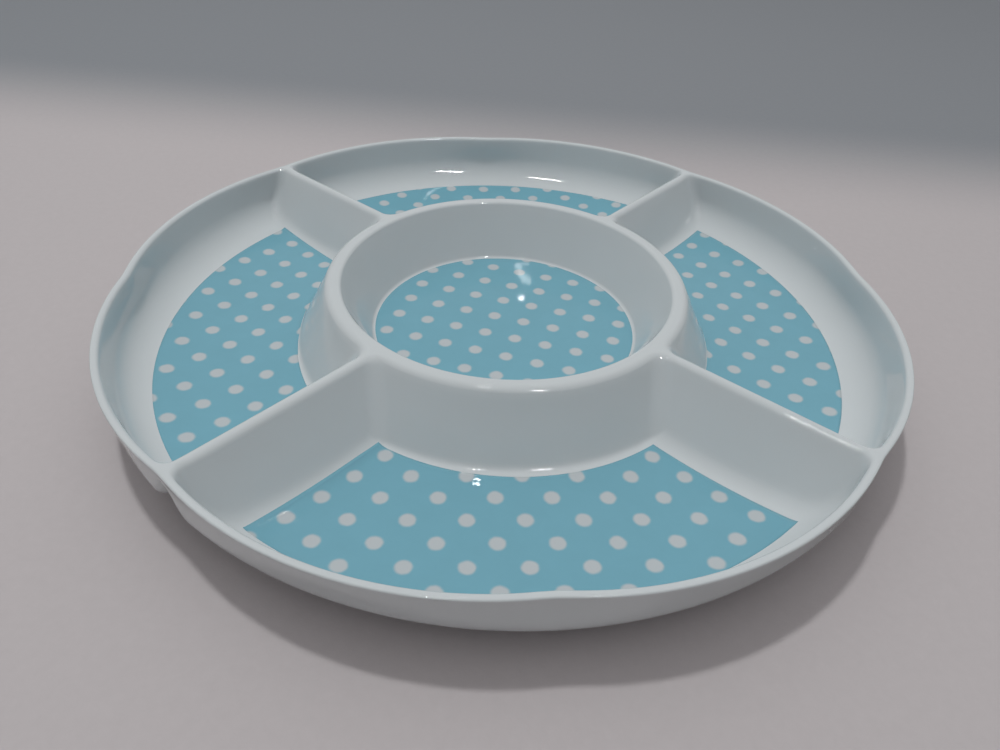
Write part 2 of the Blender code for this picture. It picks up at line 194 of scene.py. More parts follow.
class TraySection:
    """The tray's section worked out from its sizes."""

    def __init__(self, sizes):
        self.sizes = sizes
        self.floor_level = sizes.foot_height + sizes.floor_thickness
        self.centre_level = self.floor_level + sizes.centre_rise
        self.ring_top = sizes.rim_height - sizes.ring_drop
        self.divider_top = sizes.rim_height - sizes.divider_drop
        self.turn_up = sizes.rim_radius - sizes.cove_run
        self.rim_crest = sizes.rim_radius - sizes.rim_wall / 2
        self.above = sizes.rim_height * 2
        self.foot_spread = sizes.foot_width / 2 + sizes.foot_height * tan(sizes.foot_draft)
        self.bowl_line = self.make_bowl_line()
        self.fan_line = self.make_fan_line()
        self.outer_line = self.make_outer_line()
        self.under_line = self.make_under_line()

    def dish(self, radius):
        sizes = self.sizes
        return self.floor_level + (radius - sizes.dish_low_radius) ** 2 / (2 * sizes.dish_radius)

    def under_dish(self, radius):
        return self.dish(radius) - self.sizes.floor_thickness

    def ring_outer(self, height):
        sizes = self.sizes
        lean = (self.ring_top - height) * tan(sizes.ring_outer_draft)
        return sizes.ring_radius + sizes.ring_width / 2 + lean

    def ring_inner(self, height):
        sizes = self.sizes
        lean = (self.ring_top - height) * tan(sizes.ring_inner_draft)
        return sizes.ring_radius - sizes.ring_width / 2 - lean

    def divider_half(self, height):
        lean = (self.divider_top - height) * tan(self.sizes.divider_draft)
        return self.sizes.divider_width / 2 + lean

    def wall_and_cove(self, top_radius, height_at, steps=COVE_STEPS):
        """The arc from the drafted wall, which meets the rim's top at top_radius, to the floor."""
        sizes = self.sizes
        draft = sizes.wall_draft
        slope = atan((self.turn_up - sizes.dish_low_radius) / sizes.dish_radius)
        edge = Vector((self.turn_up, height_at(self.turn_up)))
        outward = Vector((cos(draft), -sin(draft)))
        room = (Vector((top_radius, sizes.rim_height)) - edge).dot(outward)
        radius = room / (1 - sin(slope + draft))
        centre = edge + Vector((-sin(slope), cos(slope))) * radius
        first, last = -draft, slope - pi / 2
        angles = [first + (last - first) * step / steps for step in range(steps + 1)]
        return [(centre.x + radius * cos(a), centre.y + radius * sin(a)) for a in angles]

    def wall_radius(self, top_radius, height):
        return top_radius - (self.sizes.rim_height - height) * tan(self.sizes.wall_draft)

    def make_bowl_line(self):
        """From the middle of the bowl's floor to the middle of the ring wall's top."""
        sizes = self.sizes
        corners = [
            (0, self.centre_level, 0),
            (self.ring_inner(self.centre_level), self.centre_level, sizes.ring_inner_fillet),
            (self.ring_inner(self.ring_top), self.ring_top, sizes.ring_rounding),
            (sizes.ring_radius, self.ring_top, 0),
        ]
        return rounded(corners, BOWL_ARC_STEPS)

    def make_fan_line(self):
        """The air side of a fan compartment, from above the outer wall to above the ring wall."""
        sizes = self.sizes
        inner_edge = sizes.rim_radius - sizes.rim_wall
        arc = self.wall_and_cove(inner_edge, self.dish)
        foot_radius = self.ring_outer(self.dish(self.ring_outer(self.floor_level)))
        radii = np.linspace(self.turn_up, foot_radius, DISH_POINTS)
        corners = [(r, self.dish(r), 0) for r in radii[1:-1]]
        corners.append((foot_radius, self.dish(foot_radius), sizes.ring_outer_fillet))
        corners.append((self.ring_outer(self.above), self.above, 0))
        start = (self.wall_radius(inner_edge, self.above), self.above)
        return [start] + arc + rounded(corners, FAN_ARC_STEPS)

    def make_outer_line(self):
        """The outside of the outer wall and its cove, from the rim down to the underside."""
        sizes = self.sizes
        cove = self.wall_and_cove(sizes.rim_radius, self.under_dish)
        return [(sizes.rim_radius, sizes.rim_height)] + cove

    def make_under_line(self):
        """The whole underside, from above the rim to the axis."""
        sizes = self.sizes
        half, spread = sizes.foot_width / 2, self.foot_spread
        outer_shell = sizes.ring_wall / cos(sizes.ring_outer_draft)
        inner_shell = sizes.ring_wall / cos(sizes.ring_inner_draft)
        lean = tan(sizes.ring_outer_draft) + tan(sizes.ring_inner_draft)
        cover = (sizes.ring_core_width + outer_shell + inner_shell - sizes.ring_width) / lean
        core_top = self.ring_top - cover
        low = sizes.foot_height
        core_foot = self.under_dish(self.ring_outer(low) - outer_shell)
        centre_foot = self.centre_level - sizes.floor_thickness
        edge = sizes.foot_rounding
        radii = np.linspace(self.turn_up, sizes.foot_radius + spread, UNDER_DISH_POINTS)
        corners = [(r, self.under_dish(r), 0) for r in radii[1:-1]]
        corners += [
            (sizes.foot_radius + spread, self.under_dish(sizes.foot_radius + spread), edge),
            (sizes.foot_radius + half, 0, edge),
            (sizes.foot_radius - half, 0, edge),
            (sizes.foot_radius - spread, self.under_dish(sizes.foot_radius - spread), edge),
            (self.ring_outer(core_foot) - outer_shell, core_foot, sizes.ring_wall),
            (self.ring_outer(core_top) - outer_shell, core_top, edge),
            (self.ring_inner(core_top) + inner_shell, core_top, edge),
            (self.ring_inner(centre_foot) + inner_shell, centre_foot, sizes.ring_wall),
            (0, centre_foot, 0),
        ]
        start = (self.wall_radius(sizes.rim_radius, self.above), self.above)
        return [start] + self.outer_line[1:] + rounded(corners)

    def crown(self, radius):
        """Height of the tops: the ring wall's, then the dividers', then the rim's."""
        sizes = self.sizes
        ring_edge = sizes.ring_radius + sizes.ring_width / 2
        rim_edge = sizes.rim_radius - sizes.rim_wall
        knots = [ring_edge, ring_edge + sizes.ring_corner,
                 rim_edge - 2 * sizes.wall_corner, rim_edge]
        heights = [self.ring_top, self.divider_top, self.divider_top, sizes.rim_height]
        return np.interp(radius, knots, heights)

    def crown_rounding(self, radius):
        sizes = self.sizes
        ring_edge = sizes.ring_radius + sizes.ring_width
        rim_edge = sizes.rim_radius - sizes.rim_wall
        knots = [ring_edge, ring_edge + sizes.ring_corner, rim_edge - sizes.wall_corner, rim_edge]
        roundings = [sizes.ring_rounding, sizes.divider_rounding,
                     sizes.divider_rounding, sizes.rim_rounding]
        return np.interp(radius, knots, roundings)

    def top_height(self, radius, across):
        """Height of the top of a fan, at a distance from the axis and from a divider's plane."""
        sizes = self.sizes
        ring_edge = self.ring_outer(self.floor_level)
        corner = np.interp(
            radius, [ring_edge - sizes.ring_corner, ring_edge + sizes.ring_corner],
            [sizes.ring_corner, sizes.wall_corner])
        crown, rounding = self.crown(radius), self.crown_rounding(radius)

        def in_air(height):
            fan = distance_from(self.fan_line, radius, height)
            divider = (across - self.divider_half(height)) * cos(sizes.divider_draft)
            return trimmed(joined(fan, divider, corner), height - crown, rounding)

        return settled(in_air, radius, self.above)

    def core_apex(self):
        """Half the width, and the height, of the top of the hollow under a divider."""
        sizes = self.sizes
        shell = sizes.divider_wall / cos(sizes.divider_draft)
        core_half = sizes.divider_core_width / 2
        cover = (core_half + shell - sizes.divider_width / 2) / tan(sizes.divider_draft)
        return core_half, self.divider_top - cover

    def under_height(self, radius, across):
        """Height of the underside. The hollows under the dividers open through the wall."""
        sizes = self.sizes
        core_half, apex = self.core_apex()
        draft = sizes.divider_draft
        edge = np.interp(
            radius, [self.turn_up - sizes.tub_rounding, sizes.rim_radius],
            [sizes.tub_rounding, sizes.notch_rounding])

        def in_solid(height):
            under = distance_from(self.under_line, radius, height)
            half = core_half + (apex - height) * tan(draft)
            side = (across - half) * cos(draft)
            core = trimmed(side, height - apex, core_half)
            core = np.maximum(core, sizes.ring_radius - radius)
            return joined(under, core, edge)

        return settled(in_solid, radius, self.above)

    def scalloped(self, places):
        """Draws the rim in between its crests, and runs this out down the wall."""
        sizes = self.sizes
        radius = np.hypot(places[:, 0], places[:, 1])
        turn = np.arctan2(places[:, 1], places[:, 0]) * sizes.scallop_count / (2 * pi)
        soft = sizes.valley_softness
        off_valley = np.hypot(1 - np.abs(2 * (turn % 1) - 1), soft) - soft
        valley = np.maximum(1 - off_valley, 0) ** sizes.scallop_power
        depth = np.clip((sizes.rim_height - places[:, 2]) / sizes.scallop_fade, 0, 1)
        start = np.clip((radius - self.turn_up) / (self.rim_crest - self.turn_up) * 2, 0, 1)
        fade = np.cos(depth * pi / 2) ** 2 * start * start * (3 - 2 * start)
        pull = sizes.scallop_depth * valley * fade
        moved = places.copy()
        moved[:, :2] *= (1 - pull / np.maximum(radius, sizes.rim_wall))[:, None]
        return moved


def distance_from(line, radius, height):
    """Distance of points from a section line, positive on the right of its run."""
    nearest = np.full(radius.shape, np.inf)
    side = np.zeros(radius.shape)
    for (r1, z1), (r2, z2) in zip(line, line[1:]):
        dr, dz = r2 - r1, z2 - z1
        span = dr * dr + dz * dz
        if not span:
            continue
        share = np.clip(((radius - r1) * dr + (height - z1) * dz) / span, 0, 1)
        er, ez = radius - r1 - share * dr, height - z1 - share * dz
        gap = er * er + ez * ez
        nearer = gap < nearest
        nearest = np.where(nearer, gap, nearest)
        side = np.where(nearer, dz * er - dr * ez, side)
    return np.sign(side) * np.sqrt(nearest)


def joined(one, other, fillet):
    """Two solids made one, with a fillet between them. Distances are positive outside."""
    near_one, near_other = np.maximum(fillet - one, 0), np.maximum(fillet - other, 0)
    return np.maximum(fillet, np.minimum(one, other)) - np.hypot(near_one, near_other)


def trimmed(one, other, rounding):
    """What two solids share, with its edge rounded. Distances are positive outside."""
    near_one, near_other = np.maximum(one + rounding, 0), np.maximum(other + rounding, 0)
    return np.minimum(-rounding, np.maximum(one, other)) + np.hypot(near_one, near_other)


def settled(test, radius, top, halvings=30):
    """The height at each place where test turns from negative to positive."""
    low, high = np.full(radius.shape, -top), np.full(radius.shape, top)
    for _ in range(halvings):
        middle = (low + high) / 2
        beyond = test(middle) > 0
        high = np.where(beyond, middle, high)
        low = np.where(beyond, low, middle)
    return (low + high) / 2


def along(line, count):
    """Radii and heights of evenly spaced points along a line."""
    points = np.array(line)
    run = np.concatenate([[0], np.cumsum(np.hypot(*np.diff(points, axis=0).T))])
    places = np.linspace(0, run[-1], count)
    return np.interp(places, run, points[:, 0]), np.interp(places, run, points[:, 1])


# Mesh help

def select_none():
    if bpy.context.object and bpy.context.object.mode != "OBJECT":
        bpy.ops.object.mode_set(mode="OBJECT")
    bpy.ops.object.select_all(action="DESELECT")


def add_grid(name, columns, rows):
    """A grid of so many faces each way, with the column and row that each vertex is in."""
    select_none()
    bpy.ops.mesh.primitive_grid_add(x_subdivisions=columns, y_subdivisions=rows, size=2)
    piece = bpy.context.object
    piece.name = piece.data.name = name
    flat = np.empty(len(piece.data.vertices) * 3)
    piece.data.vertices.foreach_get("co", flat)
    flat = flat.reshape(-1, 3)
    column = np.rint((flat[:, 0] + 1) / 2 * columns).astype(int)
    row = np.rint((flat[:, 1] + 1) / 2 * rows).astype(int)
    return piece, column, row


def place(piece, places):
    piece.data.vertices.foreach_set("co", np.ascontiguousarray(places, dtype=float).ravel())
    piece.data.update()


def merge_and_face_out(piece, gap):
    select_none()
    piece.select_set(True)
    bpy.context.view_layer.objects.active = piece
    bpy.ops.object.mode_set(mode="EDIT")
    bpy.ops.mesh.select_all(action="SELECT")
    bpy.ops.mesh.remove_doubles(threshold=gap)
    bpy.ops.mesh.dissolve_degenerate(threshold=gap / 10)
    bpy.ops.mesh.normals_make_consistent(inside=False)
    bpy.ops.object.mode_set(mode="OBJECT")
    bpy.ops.object.shade_smooth()


def apply_place(piece):
    select_none()
    piece.select_set(True)
    bpy.context.view_layer.objects.active = piece
    bpy.ops.object.transform_apply(location=True, rotation=True, scale=True)


# The moulded body

MILLIMETRE = 0.001
BODY_MERGE = 0.00001
# A quarter's lines: millimetres from a divider's middle plane, and how many lie between
SIDE_PLACES = (
    0, 0.5, 0.95, 1.3, 1.65, 2.0, 2.4, 2.9, 3.6, 4.8, 6.2, 7.8, 9.4, 11.0, 12.4, 13.6, 14.6,
    15.5, 16.4, 17.3, 18.2, 19.2, 20.5, 22.2,
)
MIDDLE_LINES = 56
# Rows over the bowl's floor and the ring wall, as shares of their half widths
BOWL_FLOOR_SHARES = (0, 0.5, 0.85)
RING_TOP_SHARES = (0, 0.3, 0.55, 0.75, 0.9, 1.04, 1.18)
# Rows over a fan: how far past a start and short of an end they lie, and how many
RING_SIDE_ROWS = (0.0008, 0.0022, 10)
RING_FILLET_ROWS = (-0.0016, -0.0030, 9)
FAN_FLOOR_ROWS = (0.0042, 0.0025, 22)
# Counts of points over the bowl's side, the cove and the wall above it
BOWL_SIDE_POINTS = 7
COVE_ROWS = 20
WALL_POINTS = 7
# Rows outside, from so many roundings below the rim to the notches
OUTSIDE_START = 1.25
OUTSIDE_POINTS = 400
OUTSIDE_ROWS = 22
# Rows underneath: past a notch's edge in millimetres, then to the foot, then on to the ring wall
NOTCH_ROWS = (0.25, 0.6, 1.1, 1.8, 2.8)
FOOT_POINTS = 11
FOOT_GAP = 0.0007
FOOT_LEAST_GAP = 0.0002
BETWEEN_GAP = 0.001
BETWEEN_ROWS = 6
# Where the ring wall's hollow lies, and the gap there that gets more rows and their spacing
HOLLOW_OUTSIDE = 0.1
HOLLOW_SPAN = (0.05, 0.105)
HOLLOW_WIDE_GAP = 0.004
HOLLOW_SPACING = 0.003
# Places that the radii of the rows are rounded to
TOP_DIGITS = 7
UNDER_DIGITS = 6


def sector_lines(least_radius):
    """A function that gives, for radii and line numbers, the angle off the sector's middle."""
    side = np.array(SIDE_PLACES) * MILLIMETRE
    last = len(side) - 1
    count = 2 * last + MIDDLE_LINES

    def off_middle(radius, line):
        outward = np.maximum(radius, least_radius)
        near = np.minimum(line, count - line)
        edge = np.interp(near, np.arange(last + 1), side)
        by_side = pi / 4 - np.arcsin(np.clip(edge / outward, 0, 1))
        open_half = pi / 4 - np.arcsin(side[last] / outward)
        share = (line - count / 2) / (MIDDLE_LINES / 2)
        return np.where(near < last, by_side * np.sign(line - count / 2), open_half * share)

    return off_middle, count


def top_rows(section, line_count):
    """Radii of the rows over the top, from the axis to the rim's crest, for each line."""
    sizes = section.sizes
    ring_edge = sizes.ring_radius + sizes.ring_width / 2
    foot = section.ring_outer(section.floor_level)
    inner_edge = sizes.rim_radius - sizes.rim_wall
    bowl = np.array([r for r, _ in section.bowl_line])
    fillet_end = BOWL_ARC_STEPS + 1
    rows = [
        np.array(BOWL_FLOOR_SHARES) * section.ring_inner(section.centre_level),
        bowl[1:-1],
        np.linspace(bowl[fillet_end], bowl[fillet_end + 1], BOWL_SIDE_POINTS)[1:-1],
        sizes.ring_radius + np.array(RING_TOP_SHARES) * sizes.ring_width / 2,
    ]
    for first, last, (past, short, count) in (
            (ring_edge, foot, RING_SIDE_ROWS),
            (foot, foot, RING_FILLET_ROWS),
            (foot, section.turn_up, FAN_FLOOR_ROWS)):
        rows.append(np.linspace(first + past, last - short, count))
    cove = [r for r, _ in section.wall_and_cove(inner_edge, section.dish, COVE_ROWS)[::-1]]
    wall_top = section.wall_radius(inner_edge, sizes.rim_height - sizes.rim_rounding)
    lip = rounded([
        (section.wall_radius(inner_edge, section.floor_level), section.floor_level, 0),
        (inner_edge, sizes.rim_height, sizes.rim_rounding),
        (section.rim_crest, sizes.rim_height, 0),
    ])
    rows += [cove, np.linspace(cove[-1], wall_top, WALL_POINTS)[1:], [r for r, _ in lip[2:]]]
    radii = np.unique(np.round(np.concatenate(rows), TOP_DIGITS))
    return np.repeat(radii[:, None], line_count, axis=1)


def under_rows(section, notch_radius):
    """Radii of the rows underneath, from the rim's outer rounding to the axis, for each line."""
    sizes = section.sizes
    outside_r, outside_z = along(section.outer_line, OUTSIDE_POINTS)
    start = np.searchsorted(-outside_z, sizes.rim_rounding * OUTSIDE_START - sizes.rim_height)
    outer = []
    for target in notch_radius:
        end = max(np.argmin(np.abs(outside_r - target)), start + 1)
        places = np.linspace(start, end, OUTSIDE_ROWS)
        outer.append(np.interp(places, np.arange(OUTSIDE_POINTS), outside_r))
    near = notch_radius[None, :] - np.array(NOTCH_ROWS)[:, None] * MILLIMETRE
    foot_edge = sizes.foot_radius + section.foot_spread + FOOT_GAP
    shares = np.linspace(0, 1, FOOT_POINTS)[1:, None]
    inner = near[-1][None, :] + (foot_edge - near[-1][None, :]) * shares

    fixed = [r for r, _ in section.under_line if r < foot_edge - FOOT_LEAST_GAP]
    hollow_edge = max(r for r in fixed if r < HOLLOW_OUTSIDE)
    fixed += list(np.linspace(
        sizes.foot_radius - section.foot_spread - BETWEEN_GAP, hollow_edge + BETWEEN_GAP,
        BETWEEN_ROWS))
    fixed = sorted(set(np.round(fixed, UNDER_DIGITS)), reverse=True)
    least, most = HOLLOW_SPAN
    tail = fixed[:1]
    for further, nearer in zip(fixed, fixed[1:]):
        gap = further - nearer
        if further < most and nearer > least and gap > HOLLOW_WIDE_GAP:
            steps = int(gap // HOLLOW_SPACING)
            tail += list(np.linspace(further, nearer, steps + 1)[1:-1])
        tail.append(nearer)
    tail_rows = np.repeat(np.array(tail)[:, None], len(notch_radius), axis=1)
    return np.concatenate([np.array(outer).T, near, inner, tail_rows])


def notch_edge(section, across):
    """Radius at which a divider's hollow leaves the wall, at a distance from its plane."""
    core_half, apex = section.core_apex()
    height = apex - np.maximum(across - core_half, 0) / tan(section.sizes.divider_draft)
    line = np.array(section.outer_line)[::-1]
    return np.interp(height, line[:, 1], line[:, 0])


def build_quarter(section, name):
    """A quarter of the body round the front compartment, as one grid shaped row by row."""
    sizes = section.sizes
    off_middle, count = sector_lines(section.ring_inner(section.floor_level))
    lines = np.arange(count + 1)
    side = np.array(SIDE_PLACES) * MILLIMETRE
    near = np.minimum(np.minimum(lines, count - lines), len(side) - 1)
    top = top_rows(section, count + 1)
    lip = np.array(rounded([
        (section.rim_crest, sizes.rim_height, 0),
        (sizes.rim_radius, sizes.rim_height, sizes.rim_rounding),
        (section.wall_radius(sizes.rim_radius, section.floor_level), section.floor_level, 0),
    ])[1:-1])
    lip_radii, lip_heights = (np.repeat(part[:, None], count + 1, axis=1) for part in lip.T)
    under = under_rows(section, notch_edge(section, side[near]))
    radius = np.concatenate([top, lip_radii, under])
    off = off_middle(radius, np.repeat(lines[None, :], len(radius), axis=0))
    across = radius * np.sin(np.clip(pi / 4 - np.abs(off), 0, pi))

    bowl_end = np.count_nonzero(top[:, 0] < sizes.ring_radius)
    below = len(top) + len(lip)
    bowl_line = np.array(section.bowl_line)
    height = np.empty(radius.shape)
    height[:bowl_end] = np.interp(top[:bowl_end], bowl_line[:, 0], bowl_line[:, 1])
    height[len(top):below] = lip_heights
    for rows, worked_out in (
            (slice(bowl_end, len(top)), section.top_height),
            (slice(below, None), section.under_height)):
        flat = worked_out(radius[rows].ravel(), across[rows].ravel())
        height[rows] = flat.reshape(radius[rows].shape)
    piece, column, row = add_grid(name, count, len(radius) - 1)
    turn = off[row, column] - pi / 2
    r, z = radius[row, column], height[row, column]
    place(piece, section.scalloped(np.stack([r * np.cos(turn), r * np.sin(turn), z], axis=1)))
    return piece


def build_body(section):
    quarter = build_quarter(section, "melamine_body")
    quarters = [quarter]
    for index in (1, 2, 3):
        select_none()
        quarter.select_set(True)
        bpy.context.view_layer.objects.active = quarter
        bpy.ops.object.duplicate()
        copy = bpy.context.object
        copy.matrix_world = Matrix.Rotation(index * pi / 2, 4, "Z")
        apply_place(copy)
        quarters.append(copy)
    select_none()
    for piece in quarters:
        piece.select_set(True)
    bpy.context.view_layer.objects.active = quarter
    bpy.ops.object.join()
    merge_and_face_out(quarter, BODY_MERGE)
    return quarter


# The printed films

FILM_MERGE = 0.000001
FAN_COLUMNS = 128
FAN_ROWS = 56
# Points round the centre film, and the rings of faces inside them as shares of its radius
CENTRE_POINTS = 256
CENTRE_RINGS = (0.02, 0.2, 0.5)


def held(values, order, last, line, lowest, highest):
    """Values along each line of points, squeezed so that both its ends stay inside the limits."""
    ends = np.empty((2, line.max() + 1))
    for index, end in enumerate((0, last)):
        here = order == end
        ends[index, line[here]] = values[here]
    low, high = ends[0][line], ends[1][line]
    held_low, held_high = np.maximum(low, lowest), np.minimum(high, highest)
    return held_low + (values - low) * (held_high - held_low) / (high - low)


def build_fan_film(section, prints, side):
    """A thin sheet on the floor of one compartment, laid a little askew as on the real tray."""
    askew, slipped, outward = FILM_PLACES[side]
    piece, column, row = add_grid(f"{side}_film", FAN_COLUMNS, FAN_ROWS)
    radius = prints.fan_inner + (prints.fan_outer - prints.fan_inner) * row / FAN_ROWS
    half = pi / 4 - np.arcsin(prints.fan_side / radius)
    turn = half * (2 * column / FAN_COLUMNS - 1)
    x, y = radius * np.cos(turn), radius * np.sin(turn)
    middle = (prints.fan_inner + prints.fan_outer) / 2
    x, y = (middle + (x - middle) * cos(askew) - y * sin(askew) + outward,
            (x - middle) * sin(askew) + y * cos(askew) + slipped)
    radius = held(np.hypot(x, y), row, FAN_ROWS, column, prints.fan_low, np.inf)
    open_half = pi / 4 - np.arcsin(prints.fan_clear / radius)
    off = held(np.arctan2(y, x), column, FAN_COLUMNS, row, -open_half, open_half)
    across = radius * np.sin(pi / 4 - np.abs(off))
    height = section.top_height(radius, across) + prints.film_proud
    turn = off + (SIDES.index(side) - 1) * pi / 2
    place(piece, np.stack([radius * np.cos(turn), radius * np.sin(turn), height], axis=1))
    return finish_film(piece, prints)


def build_centre_film(section, prints):
    select_none()
    bpy.ops.mesh.primitive_circle_add(
        vertices=CENTRE_POINTS, radius=prints.centre_radius, fill_type="NGON",
        location=(0, 0, section.centre_level + prints.film_proud))
    piece = bpy.context.object
    piece.name = piece.data.name = "centre_film"
    apply_place(piece)
    bpy.ops.object.mode_set(mode="EDIT")
    bpy.ops.mesh.select_all(action="SELECT")
    for share in CENTRE_RINGS:
        bpy.ops.mesh.inset(thickness=prints.centre_radius * share)
    bpy.ops.object.mode_set(mode="OBJECT")
    return finish_film(piece, prints)


def finish_film(piece, prints):
    merge_and_face_out(piece, FILM_MERGE)
    mesh = piece.data
    if sum(face.normal.z for face in mesh.polygons) < 0:
        mesh.flip_normals()
    solid = piece.modifiers.new("Film Thickness", "SOLIDIFY")
    solid.thickness = prints.film_thickness
    solid.offset = -1
    bpy.context.view_layer.objects.active = piece
    bpy.ops.object.modifier_apply(modifier=solid.name)
    return piece


# Materials

# Each noise as its scale, detail and roughness, and each bump as its strength and height
WAVES, WAVE_BUMP = (38.0, 1.0, 0.4), (0.15, 0.00012)
GRAIN, GRAIN_BUMP = (1500.0, 2.0, 0.5), (0.12, 0.000012)
FIBRE, FIBRE_BUMP = (240.0, 6.0, 0.7), (0.3, 0.0004)
SMEARS = (16.0, 5.0, 0.6)
CLOUDS = (22.0, 3.0, 0.5)
INK = (90.0, 4.0, 0.6)
WOBBLE = (420.0, 1.0, 0.5)
# How far a tone goes to each side of its own, as a share
CLOUD_SHARE = 0.025
INK_SHARE = 0.05
FLECK_SHARE = 0.05
DOT_WOBBLE = 0.0005
SMEAR_LEVELS = (0.35, 0.7)
GLOSS_ROUGHNESS = (0.02, 0.045)
MELAMINE_IOR = 1.55
PAPER_ROUGHNESS = 0.85
PAPER_SHINE = 0.2
# Places of the first colour among a Mix node's inputs and of the colour among its outputs
MIX_FIRST_COLOUR = 6
MIX_RESULT = 2


def new_material(name):
    material = bpy.data.materials.new(name)
    material.use_nodes = True
    nodes = material.node_tree.nodes
    coordinates = nodes.new("ShaderNodeTexCoord").outputs["Object"]
    return material, nodes, coordinates, nodes["Principled BSDF"]


def set_inputs(node, *in_order, **named):
    """Links each output that is given to an input, and sets each value. None is passed over."""
    for key, given in (*enumerate(in_order), *named.items()):
        if isinstance(given, bpy.types.NodeSocket):
            node.id_data.links.new(given, node.inputs[key])
        elif given is not None:
            node.inputs[key].default_value = given
    return node


def add_node(nodes, kind, *in_order, **named):
    """A new node. A keyword that names a property of it sets that, and others set inputs."""
    node = nodes.new(kind)
    for key in [key for key in named if hasattr(node, key)]:
        setattr(node, key, named.pop(key))
    return set_inputs(node, *in_order, **named)


def add_math(nodes, operation, *given):
    return add_node(nodes, "ShaderNodeMath", *given, operation=operation).outputs["Value"]


def add_vector_math(nodes, operation, *given, output="Vector", **named):
    node = add_node(nodes, "ShaderNodeVectorMath", *given, operation=operation, **named)
    return node.outputs[output]


def add_mapping(nodes, vector, **named):
    node = add_node(nodes, "ShaderNodeMapping", vector, vector_type="TEXTURE", **named)
    return node.outputs["Vector"]


def add_noise(nodes, coordinates, noise, output="Fac"):
    scale, detail, roughness = noise
    node = add_node(nodes, "ShaderNodeTexNoise", coordinates,
                    Scale=scale, Detail=detail, Roughness=roughness)
    return node.outputs[output]


def add_bump(nodes, height, bump, normal=None):
    strength, distance = bump
    node = add_node(nodes, "ShaderNodeBump",
                    Strength=strength, Distance=distance, Height=height, Normal=normal)
    return node.outputs["Normal"]


def add_range(nodes, value, before, after, interpolation="LINEAR"):
    """A value brought from one range to another."""
    ends = dict(zip(("From Min", "From Max", "To Min", "To Max"), (*before, *after)))
    node = add_node(nodes, "ShaderNodeMapRange", value, interpolation_type=interpolation, **ends)
    return node.outputs["Result"]


def add_mix(nodes, factor, *colours):
    passed_over = [None] * (MIX_FIRST_COLOUR - 1)
    node = add_node(nodes, "ShaderNodeMix", factor, *passed_over, *colours, data_type="RGBA")
    return node.outputs[MIX_RESULT]


def add_clouded(nodes, coordinates, noise, share, colour_value):
    """A colour that a noise makes a little darker here and lighter there."""
    darker = (*[part * (1 - share) for part in colour_value], 1)
    lighter = (*[min(part * (1 + share), 1) for part in colour_value], 1)
    return add_mix(nodes, add_noise(nodes, coordinates, noise), darker, lighter)


def add_gloss(nodes, coordinates, shader):
    """A melamine gloss with faint waves, grain and smears."""
    waves = add_bump(nodes, add_noise(nodes, coordinates, WAVES), WAVE_BUMP)
    grain = add_bump(nodes, add_noise(nodes, coordinates, GRAIN), GRAIN_BUMP, waves)
    smears = add_noise(nodes, coordinates, SMEARS)
    roughness = add_range(nodes, smears, SMEAR_LEVELS, GLOSS_ROUGHNESS)
    set_inputs(shader, Normal=grain, Roughness=roughness, IOR=MELAMINE_IOR)


def make_melamine(finish):
    """Melamine white with a very faint cloudiness."""
    material, nodes, coordinates, shader = new_material("white melamine")
    white = add_clouded(nodes, coordinates, CLOUDS, CLOUD_SHARE, finish.white)
    set_inputs(shader, **{"Base Color": white})
    add_gloss(nodes, coordinates, shader)
    return material


def make_print(finish, prints, side, origin, turn):
    """Blue film with a square grid of white dots, turned and placed as on the real film."""
    material, nodes, coordinates, shader = new_material(f"{side} dotted film")
    pitch, diameter, edge = prints.dot_pitch, prints.dot_diameter, prints.dot_edge
    wobble = add_noise(nodes, coordinates, WOBBLE, "Color")
    centred = add_vector_math(nodes, "SUBTRACT", wobble, (0.5, 0.5, 0.5))
    shift = add_vector_math(nodes, "SCALE", centred, Scale=DOT_WOBBLE)
    shaken = add_vector_math(nodes, "ADD", coordinates, shift)
    grid = add_mapping(nodes, shaken, Location=(*origin, 0), Rotation=(0, 0, turn),
                       Scale=(pitch, pitch, 1))
    cell = add_vector_math(nodes, "WRAP", grid, (0.5, 0.5, 0.5), (-0.5, -0.5, -0.5))
    flat = add_vector_math(nodes, "MULTIPLY", cell, (pitch, pitch, 0))
    reach = add_vector_math(nodes, "LENGTH", flat, output="Value")
    span = ((diameter - edge) / 2, (diameter + edge) / 2)
    dot = add_range(nodes, reach, span, (1, 0), "SMOOTHSTEP")
    blue = add_clouded(nodes, coordinates, INK, INK_SHARE, finish.blue)
    white = add_clouded(nodes, coordinates, CLOUDS, CLOUD_SHARE, finish.dots)
    set_inputs(shader, **{"Base Color": add_mix(nodes, dot, blue, white)})
    add_gloss(nodes, coordinates, shader)
    return material


def give_material(piece, material):
    piece.data.materials.clear()
    piece.data.materials.append(material)


# How each fan film lies: its turn, its slip round the tray and its slip outwards
FILM_PLACES = {
    "front": (radians(-1.5), -0.0022, 0.0051),
    "right": (radians(-1.75), -0.0031, 0.0011),
    "back": (radians(0.8), 0.0006, 0.0005),
    "left": (radians(-1.3), 0.0028, 0.0018),
}
# A dot's centre on each film, and the turn of its grid of dots in degrees
DOT_ORIGINS = {
    "front": (-0.00158, -0.11403),
    "right": (0.11850, 0.00461),
    "back": (-0.00228, 0.12238),
    "left": (-0.11955, 0.00575),
    "centre": (-0.00418, 0.00561),
}
DOT_TURNS = {"front": 43.11, "right": 43.67, "back": 44.5, "left": 43.09, "centre": 68.62}


# Operators

class TRAY_OT_add_body(bpy.types.Operator):
    """Add the moulded body in place of its plain solid"""

    bl_idname = "tray.add_body"
    bl_label = "Add Moulded Body"

    def execute(self, context):
        section = TraySection(context.scene.tray_moulding)
        body = build_body(section)
        give_material(body, make_melamine(context.scene.tray_finish))
        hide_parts("tray_body")
        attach(body, "root")
        return {"FINISHED"}


